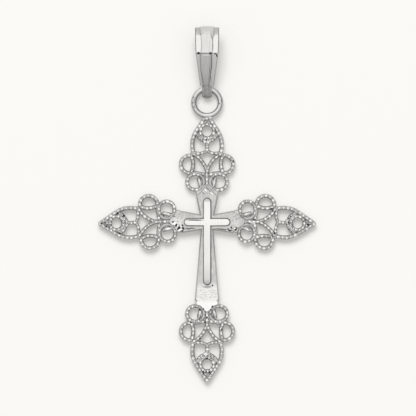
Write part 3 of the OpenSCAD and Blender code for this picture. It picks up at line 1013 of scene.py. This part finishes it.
BAIL_TILT = touch_angle((-END_DROP, 0), END_R, KNEE) - 90
RING_Z = END_R + END_DROP * sin(radians(BAIL_TILT))
print("bail's tilt in degrees", round(BAIL_TILT, 1), "ring's height in mm", round(RING_Z, 2))

# %% [markdown]
# The ring is a plain round wire, closed and soldered flat on the filed point. bmesh has no ready torus, so
# a circle is spun all the way round the ring's axis, and its last section merges with the first. Its
# colour carries a painted highlight towards the top left, and painted shade on the other sides and on the
# side of the hole.

# %% Top ring
# Faces turned this way keep the ring's bright colour, which puts its painted highlight towards the top
# left
RING_HIGHLIGHT_FACING = (-0.32, 0.40, 0.86)
# Distances inside the wire's middle line between which painted shade comes in on the hole's side
HOLE_SHADE_SPAN = (0.12, 0.22)
RING_MARKS = [
    (-1.33, 11.85, 0.10, 0.05, 60), (-1.38, 11.35, 0.09, 0.045, 90), (-1.23, 10.95, 0.12, 0.05, 110),
    (1.40, 11.55, 0.14, 0.05, 80), (1.17, 11.25, 0.09, 0.05, 60)]
# Painted shade on the wire's left side
RING_SHADE_PATCH = [(-1.24, 11.55, 0.40, 0.07, 85)]
# Painted highlight on the inside of the ring's bottom
RING_PAINTED_HIGHLIGHT = [(0.05, 10.27, 0.40, 0.05, 3)]
# Points round the wire, and steps round the ring
WIRE_POINTS = 24
RING_STEPS = 96

# Buffed plate mirrors the tent: a bright line along the wire's crest. Painted shade greys the sides, the
# side of the hole and a patch on the left, and a painted highlight lies at the bottom.
ring_finish = white_gold("buffed_rhodium_plated_ring", "#E1E0DD", 0.13, 0.25, 0.002, 0.03)
paint_by_facing(ring_finish, "#B7B6B4", 0.97, 0.78, RING_HIGHLIGHT_FACING)
ring_place = add_node(ring_finish.node_tree, "ShaderNodeTexCoord").outputs["Object"]
from_axis = add_node(ring_finish.node_tree, "ShaderNodeVectorMath", {
    0: ring_place, 1: (0, RING_AT * MM, RING_Z * MM)}, operation="DISTANCE")
hole_shade = add_node(ring_finish.node_tree, "ShaderNodeMapRange", {
    "Value": from_axis.outputs["Value"], "From Min": (RING_R - HOLE_SHADE_SPAN[0]) * MM,
    "From Max": (RING_R - HOLE_SHADE_SPAN[1]) * MM})
recolour(ring_finish, "#8D8C8A", hole_shade.outputs["Result"])
recolour(ring_finish, "#8A8987", spots(ring_finish, RING_SHADE_PATCH), 0.7)
recolour(ring_finish, "#FFFFFD", spots(ring_finish, RING_PAINTED_HIGHLIGHT))
recolour(ring_finish, "#4A4948", spots(ring_finish, RING_MARKS), 0.85)

ring_shape = bmesh.new()
made = bmesh.ops.create_circle(ring_shape, segments=WIRE_POINTS, radius=RING_WIRE_R)
bmesh.ops.rotate(ring_shape, verts=made["verts"], cent=(0, 0, 0), matrix=Matrix.Rotation(pi / 2, 3, "X"))
bmesh.ops.translate(ring_shape, verts=made["verts"], vec=(RING_R, RING_AT, RING_Z))
bmesh.ops.spin(ring_shape, geom=ring_shape.edges[:] + ring_shape.verts[:], cent=(0, RING_AT, RING_Z),
               axis=(0, 0, 1), angle=2 * pi, steps=RING_STEPS, use_merge=True)
finish_piece("top_ring", ring_shape, [ring_finish], "filigree_cross")

# %% [markdown]
# The bail is a strip bent into a long loop: a tight round end about the ring's wire, two legs that
# widen to a knee, and a blunt top. A flat strip could be bent by a modifier. Lofting it once
# round its side view keeps its thickness and widths as drawn, and these functions give its widths.
# Below a shoulder near the ring the strip narrows to a neck, so that it passes through the ring.

# %% Widths of the bail
# u runs up the bail from the ring's wire, and w out from its middle
# The top is folded round a circle with this centre and radius
CAP = (5.25, 0)
CAP_R = 0.86
STRIP_T = 0.42
END_T = 0.25
NECK_HALF = 0.475
NECK_TOP = 0.34
# Where the shoulder is, and the half width there
SHOULDER = (0.44, 0.655)
KNEE_HALF = 1.09
TOP_HALF = 1.145
PANEL_HALF = 0.53
PANEL_NECK_HALF = 0.28
# The panel widens between these two places
PANEL_TAPER = (0.55, 2.3)
# It widens again where it goes over the top: from one place to another, by 0 to this much a side
PANEL_TOP = (5.3, 5.62, 0, 0.17)
# Below the knee it lies this far to the side, and it moves back within this distance of the knee
PANEL_OFF = -0.11
PANEL_OFF_ENDS = 0.3
END_CORNER_R = 0.34
END_REACH = END_DROP + END_R
END_SEAT = RING_AT + RING_R


def between(u, start, end, first, last):
    """Value that runs evenly from first to last while u goes from start to end, and stops there."""
    share = max(0.0, min(1.0, (u - start) / (end - start)))
    return first + (last - first) * share


def strip_half(u):
    """Half width of the strip at a distance along the bail."""
    if u < SHOULDER[0]:
        half = between(u, NECK_TOP, SHOULDER[0], NECK_HALF, SHOULDER[1])
    elif u < KNEE[0]:
        half = between(u, SHOULDER[0], KNEE[0], SHOULDER[1], KNEE_HALF)
    else:
        half = between(u, KNEE[0], CAP[0], KNEE_HALF, TOP_HALF)
    corner = max(0.0, END_CORNER_R - END_REACH - u)
    return half - END_CORNER_R + sqrt(max(0.0, END_CORNER_R ** 2 - min(corner, END_CORNER_R) ** 2))


def panel_half(u):
    """The panel widens from the neck up the leg, and once more where it goes over the top."""
    return between(u, *PANEL_TAPER, PANEL_NECK_HALF, PANEL_HALF) + between(u, *PANEL_TOP)


def panel_middle(u):
    """Below the knee the panel was soldered on a little to the left."""
    if u < PANEL_TAPER[0]:
        return between(u, 0, PANEL_TAPER[0], 0, PANEL_OFF)
    return between(u, KNEE[0] - PANEL_OFF_ENDS, KNEE[0] + PANEL_OFF_ENDS, PANEL_OFF, 0)


print("bail's half width at the knee and the top in mm", strip_half(KNEE[0]), strip_half(CAP[0]))

# %% [markdown]
# The bail's side view is a row of stations. Each has a place, an outward direction and the strip's
# thickness. The front is walked from the round end over the knee to the top, and the back mirrors it.

# %% Side view of the bail
end_centre = (-END_DROP, 0)
# The top is folded at these two angles of the cap's circle, and each fold leans back a little
CAP_FOLDS = (74, 10)
FOLD_LEAN = 6
# Places of the stations on the leg, and shares of the way from the knee to the first fold
LEG_STATIONS = (NECK_TOP, SHOULDER[0], 1.2, 2.0, 2.8, 3.4, 3.76)
TOP_STATIONS = (0.06, 0.3, 0.6, 0.95)


def bail_side():
    """Stations round the bail's outer side: place, outward direction, and the strip's thickness."""
    low = touch_angle(end_centre, END_R, KNEE)
    front = [(p, (p - Vector(end_centre)).normalized(), END_T) for p in arc(end_centre, END_R, 180, low)]
    leg_start, leg_out = front[-1][0], front[-1][1]
    for u in LEG_STATIONS:
        share = (u - leg_start.x) / (KNEE[0] - leg_start.x)
        front.append((leg_start.lerp(Vector(KNEE), share), leg_out, END_T + (STRIP_T - END_T) * share))
    folds = [point_on(CAP, CAP_R, angle) for angle in CAP_FOLDS]
    top_out = Vector((KNEE[1] - folds[0].y, folds[0].x - KNEE[0])).normalized()
    front.append((Vector(KNEE), (leg_out + top_out).normalized(), STRIP_T))
    for share in TOP_STATIONS:
        front.append((Vector(KNEE).lerp(folds[0], share), top_out, STRIP_T))
    for angle, place in zip(CAP_FOLDS, folds):
        front.append((place, point_on((0, 0), 1, angle - FOLD_LEAN), STRIP_T))
    front.append((Vector((CAP[0] + CAP_R, 0)), Vector((1, 0)), STRIP_T))
    back = [(Vector((p.x, -p.y)), Vector((n.x, -n.y)), t) for p, n, t in reversed(front[1:-1])]
    return front + back


print("stations round the bail", len(bail_side()))

# %% [markdown]
# Each section crosses the strip, with a raised panel in the middle and a groove cut along both sides
# of it. It is drawn from the middle to the right edge and mirrored. The panel's own points then
# move sideways with the panel.

# %% Section of the bail
PANEL_CROWN = 0.05
PANEL_RISE = 0.12
# The panel takes no more than this share of the strip's width
PANEL_SHARE = 0.6
GROOVE_DEEP = 0.02
EDGE_ROUND = 0.08
# The first points of a section are the panel's and its groove's, and move with the panel
PANEL_POINTS = 7


def strip_section(u, thickness):
    """Points round the strip, across and outward, for one station."""
    half = strip_half(u)
    panel = min(panel_half(u), half * PANEL_SHARE)
    rise = PANEL_RISE * min(1.0, thickness / STRIP_T)
    right = [
        # The panel's crown and its edge
        (panel * 0.4, -PANEL_CROWN * 0.12), (panel * 0.75, -PANEL_CROWN * 0.5),
        (panel - 0.03, -PANEL_CROWN), (panel, -PANEL_CROWN - 0.04),
        # The groove beside it
        (panel + 0.01, -rise - GROOVE_DEEP + 0.01), (panel + 0.05, -rise - GROOVE_DEEP),
        (panel + 0.10, -rise),
        # The border, its rounded edge and the back
        (half - EDGE_ROUND, -rise), (half - EDGE_ROUND * 0.25, -rise - EDGE_ROUND * 0.55),
        (half, -rise - EDGE_ROUND * 1.3), (half, -thickness + 0.02), (half - 0.02, -thickness)]
    shift = panel_middle(u)
    limit = half - 0.001
    left = [(max(-limit, shift - x) if k < PANEL_POINTS else -x, n) for k, (x, n) in enumerate(right)]
    right = [(min(limit, shift + x) if k < PANEL_POINTS else x, n) for k, (x, n) in enumerate(right)]
    return right + left[::-1]


def in_part(x, u, w):
    """A place on the bail, across, along and out from its middle, in the part's frame."""
    tilt = radians(BAIL_TILT)
    y = END_SEAT + u * cos(tilt) - w * sin(tilt)
    return Vector((x, y, RING_Z + u * sin(tilt) + w * cos(tilt)))


print("points in a section", len(strip_section(*KNEE)))

# %% [markdown]
# The strip's borders were buffed bright, its panel has soft lines from the brush, and its cut edge was
# left dull and carries a painted grey shade that draws the bail's outline. Painted shade darkens the lower
# legs, the panel's lower part, the strip's top, the groove on the right and a line along the fold at the
# knee. Painted light brightens the panel's top and the edge's low end, and painted highlights lie just
# below the knee. Dark spots sit at the knee and in the mottled solder about the neck, and dark lines on
# the top. These marks are ellipses as on the plate, seen from above.

# %% Bail finishes
KNEE_Y = in_part(0, *KNEE).y
# Dark spots at the knee
KNEE_DARK_SPOTS = [
    (-0.81, KNEE_Y - 0.03, 0.15, 0.12, 0), (0.32, KNEE_Y - 0.04, 0.14, 0.11, 5),
    (0.79, KNEE_Y - 0.10, 0.12, 0.06, -20), (0.91, KNEE_Y - 0.26, 0.06, 0.14, 10)]
# Painted shade along the fold at the knee
KNEE_SHADE_LINE = [
    (-0.30, KNEE_Y - 0.04, 0.30, 0.06, -3), (0.05, KNEE_Y - 0.02, 0.25, 0.04, 3)]
# Painted highlights just below the knee
KNEE_PAINTED_HIGHLIGHTS = [
    (-0.84, KNEE_Y - 0.22, 0.13, 0.06, 0), (0.80, KNEE_Y - 0.25, 0.05, 0.08, 0),
    (-0.10, KNEE_Y - 0.22, 0.38, 0.06, 0)]
# Painted shade in the groove on the right of the panel
GROOVE_SHADE = [
    (0.46, 17.52, 0.40, 0.06, -73), (0.54, 16.73, 0.45, 0.05, -88), (0.43, 15.2, 0.85, 0.05, -89),
    (0.31, 14.0, 0.75, 0.05, -83)]
# Dark lines at the panel's edges on the top
CAP_DARK_LINES = [
    (-0.60, 17.80, 0.07, 0.10, 0), (-0.76, 18.2, 0.04, 0.35, 0), (0.64, 17.85, 0.06, 0.30, 0)]
# Dark spots about the neck, and a dark arc across it
NECK_DARK_SPOTS = [
    (-0.1, 11.98, 0.10, 0.07, 20), (-0.36, 11.85, 0.08, 0.09, 0), (0.46, 12.27, 0.06, 0.12, 0),
    (-0.55, 12.2, 0.05, 0.16, 0), (-0.40, 12.92, 0.16, 0.05, 35), (-0.05, 13.0, 0.2, 0.05, 0),
    (0.28, 12.92, 0.16, 0.05, -35)]
# Places along y between which these come in: painted shade on the legs, the mottle, painted shade on the
# panel's lower part, painted light on the panel's top, painted shade on the strip's top, and painted light
# on the edge's low end
LEG_SHADE = (15.9, 12.9)
NECK_MOTTLE = (13.1, 12.8)
PANEL_LOW_SHADE = (14.4, 13.0)
PANEL_TOP_PAINTED_LIGHT = (17.75, 17.95)
STRIP_TOP_SHADE = (17.65, 17.85)
EDGE_LOW_PAINTED_LIGHT = (12.9, 12.6)

# Buffed plate mirrors the roof of the tent, so the borders are the brightest metal
strip_finish = white_gold("buffed_rhodium_plated_strip", "#E3E2DF", 0.15, 0.25, 0.002, 0.03)
# Brushed plate blurs the roof along its fine lines, so the panel is a shade greyer
panel_finish = white_gold("brushed_rhodium_plated_panel", "#DAD9D6", 0.22, 0.20, 0.002, 0.05)
# A dull edge shows only the tent's walls, and its darker colour is a painted grey shade, so it draws a
# grey line round the bail
edge_painted_shade = white_gold("dull_edge_painted_shade", "#A5A4A2", 0.30, 0.12, 0.004, 0.06)
recolour(panel_finish, "#C9C8C5", noise_mask(panel_finish, (0.12, 1.6, 1), 0.45, 0.7))
# On both finishes: painted shade down the legs, a mottle about the neck, and the marks above
for metal in (strip_finish, panel_finish):
    recolour(metal, "#CDCCC9", band(metal, "Y", *LEG_SHADE), 0.8)
    recolour(metal, "#B3B2B0", band(metal, "Y", *NECK_MOTTLE),
             noise_mask(metal, (0.18, 0.25, 0.2), 0.45, 0.65))
    recolour(metal, "#222120", spots(metal, KNEE_DARK_SPOTS))
    recolour(metal, "#7A7977", spots(metal, KNEE_SHADE_LINE), 0.7)
    recolour(metal, "#FFFFFD", spots(metal, KNEE_PAINTED_HIGHLIGHTS), 0.8)
    recolour(metal, "#72716F", spots(metal, GROOVE_SHADE), 0.75)
    recolour(metal, "#7C7B79", spots(metal, CAP_DARK_LINES), 0.6)
    recolour(metal, "#6A6967", spots(metal, NECK_DARK_SPOTS), 0.5)
# Painted shade on the panel's lower part, painted light on its top, painted shade on the strip's top, and
# painted light on the edge's low end
recolour(panel_finish, "#A9A8A6", band(panel_finish, "Y", *PANEL_LOW_SHADE), 0.45)
recolour(panel_finish, "#E6E5E2", band(panel_finish, "Y", *PANEL_TOP_PAINTED_LIGHT), 0.7)
recolour(strip_finish, "#CECDCA", band(strip_finish, "Y", *STRIP_TOP_SHADE))
recolour(edge_painted_shade, "#D0CFCC", band(edge_painted_shade, "Y", *EDGE_LOW_PAINTED_LIGHT))

# %% [markdown]
# The sections are lofted round the side view in one closed loop. Each face then gets its finish by
# where it lies: the strip's edges by the way they face, and the panel by its distance from its middle.

# %% Bail
# A face that looks sideways more than this is an edge
EDGE_FACING = 0.5
PANEL_MARGIN = 0.005

bail_shape = bmesh.new()
bail_sections = []
for place, out, thickness in bail_side():
    across_out = strip_section(place.x, thickness)
    bail_sections.append([in_part(x, *(place + out * n)) for x, n in across_out])
loft(bail_shape, bail_sections, True)
for face in bail_shape.faces:
    face.normal_update()
    middle = face.calc_center_median()
    u = middle.y - END_SEAT
    if abs(face.normal.x) > EDGE_FACING:
        face.material_index = 2
    elif abs(middle.x - panel_middle(u)) < panel_half(u) + PANEL_MARGIN:
        face.material_index = 1
finish_piece("bail_loop", bail_shape, [strip_finish, panel_finish, edge_painted_shade], "bail",
             crisp=radians(25))

# %% [markdown]
# The last step compares the finished look's box with the imported model's box.

# %% Sizes
seen_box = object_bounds()
cad_sides = (*cad_box[0], *cad_box[1])
seen_sides = (*seen_box[0], *seen_box[1])
print("grows in mm", [round((b - a) / MM, 3) for a, b in zip(cad_sides, seen_sides)])
